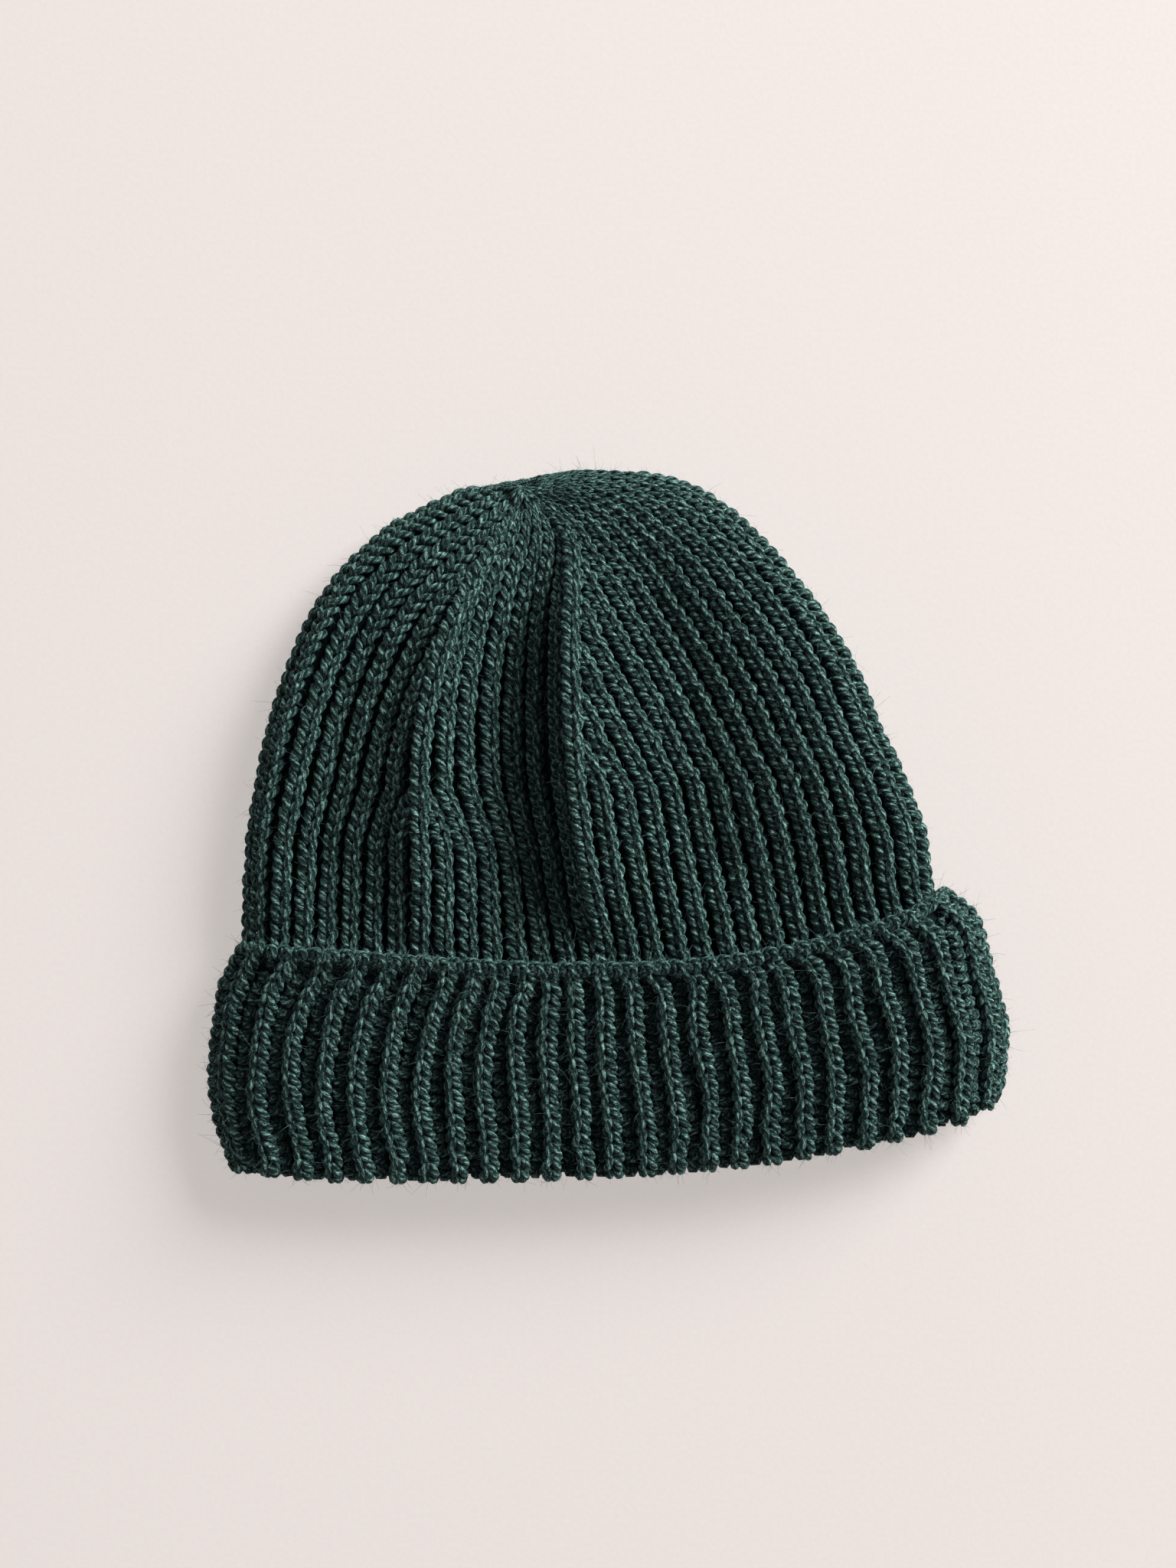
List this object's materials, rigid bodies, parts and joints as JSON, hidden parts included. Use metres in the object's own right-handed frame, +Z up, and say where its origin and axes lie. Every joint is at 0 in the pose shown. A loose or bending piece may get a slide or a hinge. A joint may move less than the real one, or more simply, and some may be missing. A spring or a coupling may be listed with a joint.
{
  "type": "knit beanie",
  "caption": "Soft rib-knit beanie laid flat, with a turned-up cuff that folds down and a crown drawn closed by its yarn.",
  "frame": {"origin": "under the middle of the beanie as it lies flat, on the surface it lies on", "axes": "+X to the right as the front is looked at, +Y from the mouth towards the crown, +Z up from the surface"},
  "size_m": [0.2346, 0.2052, 0.0275],
  "materials": {
    "rib_knit": "soft plied acrylic yarn in a 1x1 rib, light fuzz",
    "cast_on_edge": "chain of cast-on stitches in the same yarn",
    "yarn": "bare plied yarn end"
  },
  "bodies": {
    "shell": {"front_left_gore": "rib_knit", "front_middle_gore": "rib_knit", "front_right_gore": "rib_knit", "back_left_gore": "rib_knit", "back_middle_gore": "rib_knit", "back_right_gore": "rib_knit", "left_decrease_ridge": "rib_knit", "centre_decrease_ridge": "rib_knit", "crown_gather": "rib_knit", "closing_yarn": "yarn", "front_fold": "rib_knit", "back_fold": "rib_knit"},
    "cuff_front": {"cuff_front": "rib_knit", "cast_on_edge_front": "cast_on_edge"},
    "cuff_back": {"cuff_back": "rib_knit", "cast_on_edge_back": "cast_on_edge"}
  },
  "joints": [
    {"name": "cuff_front_turn", "type": "hinge", "parent": "shell", "child": "cuff_front", "pos_m": [-0.11186, -0.09942, 0.02275], "axis": [0.9958, 0.0914, 0], "range_deg": [0, 180]},
    {"name": "cuff_back_turn", "type": "hinge", "parent": "shell", "child": "cuff_back", "pos_m": [-0.11232, -0.09445, 0.00365], "axis": [0.9958, 0.0914, 0], "range_deg": [-180, 0]}
  ],
  "couplings": [
    {"joint": "cuff_back_turn", "follows": "cuff_front_turn", "ratio": -1}
  ]
}
